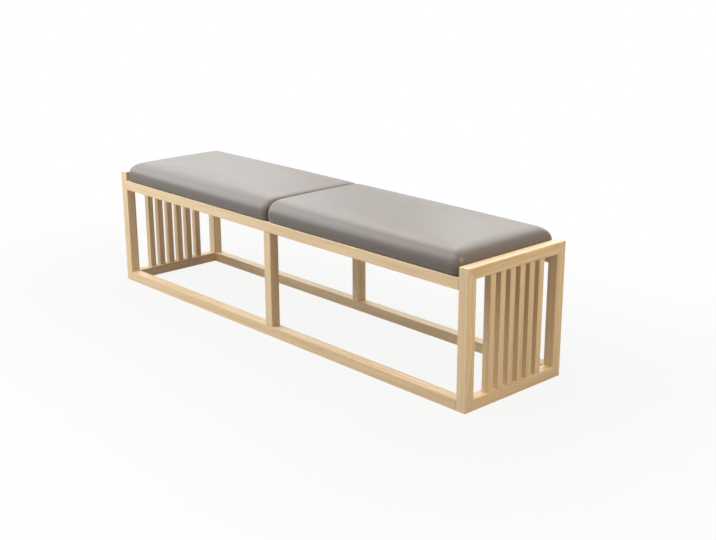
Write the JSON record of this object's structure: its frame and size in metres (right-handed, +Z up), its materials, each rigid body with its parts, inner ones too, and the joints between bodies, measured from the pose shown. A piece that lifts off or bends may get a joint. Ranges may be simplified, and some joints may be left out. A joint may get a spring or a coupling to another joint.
{
  "type": "luggage bench",
  "caption": "Long low timber bench with slatted end frames, open sides and padded seat cushions that lift off, for sitting or setting luggage down.",
  "frame": {"origin": "on the floor, under the middle of the bench", "axes": "+X along the bench to the right-hand end, +Y from front to back, +Z up"},
  "size_m": [1.65, 0.408, 0.4455],
  "materials": {
    "ash": "pale ash, clear satin lacquer",
    "beech": "plain beech, unfinished",
    "plywood": "sanded birch plywood",
    "foam": "open-cell seat foam",
    "cover": "smooth warm grey leathercloth, satin"
  },
  "bodies": {
    "frame": {"back_bottom_rail": "ash", "back_middle_post": "ash", "back_top_rail": "ash", "front_bottom_rail": "ash", "front_middle_post": "ash", "front_top_rail": "ash", "left_back_bottom_corner_tenon": "beech", "left_back_end_rail_dowel": "beech", "left_back_post": "ash", "left_back_post_dowel": "beech", "left_back_top_corner_tenon": "beech", "left_bearer": "beech", "left_end_bottom_rail": "ash", "left_end_top_rail": "ash", "left_front_bottom_corner_tenon": "beech", "left_front_end_rail_dowel": "beech", "left_front_post": "ash", "left_front_post_dowel": "beech", "left_front_top_corner_tenon": "beech", "left_slat_1": "ash", "left_slat_2": "ash", "left_slat_3": "ash", "left_slat_4": "ash", "left_slat_5": "ash", "left_slat_6": "ash", "middle_bearer": "beech", "right_back_bottom_corner_tenon": "beech", "right_back_end_rail_dowel": "beech", "right_back_post": "ash", "right_back_post_dowel": "beech", "right_back_top_corner_tenon": "beech", "right_bearer": "beech", "right_end_bottom_rail": "ash", "right_end_top_rail": "ash", "right_front_bottom_corner_tenon": "beech", "right_front_end_rail_dowel": "beech", "right_front_post": "ash", "right_front_post_dowel": "beech", "right_front_top_corner_tenon": "beech", "right_slat_1": "ash", "right_slat_2": "ash", "right_slat_3": "ash", "right_slat_4": "ash", "right_slat_5": "ash", "right_slat_6": "ash"},
    "left_pad": {"left_pad_back_cleat": "beech", "left_pad_board": "plywood", "left_pad_cover": "cover", "left_pad_foam": "foam", "left_pad_front_cleat": "beech"},
    "right_pad": {"right_pad_back_cleat": "beech", "right_pad_board": "plywood", "right_pad_cover": "cover", "right_pad_foam": "foam", "right_pad_front_cleat": "beech"}
  },
  "joints": [
    {"name": "left_pad_lift", "type": "slide", "parent": "frame", "child": "left_pad", "axis": [0, 0, 1], "range_m": [0, 0.15]},
    {"name": "right_pad_lift", "type": "slide", "parent": "frame", "child": "right_pad", "axis": [0, 0, 1], "range_m": [0, 0.15]}
  ]
}
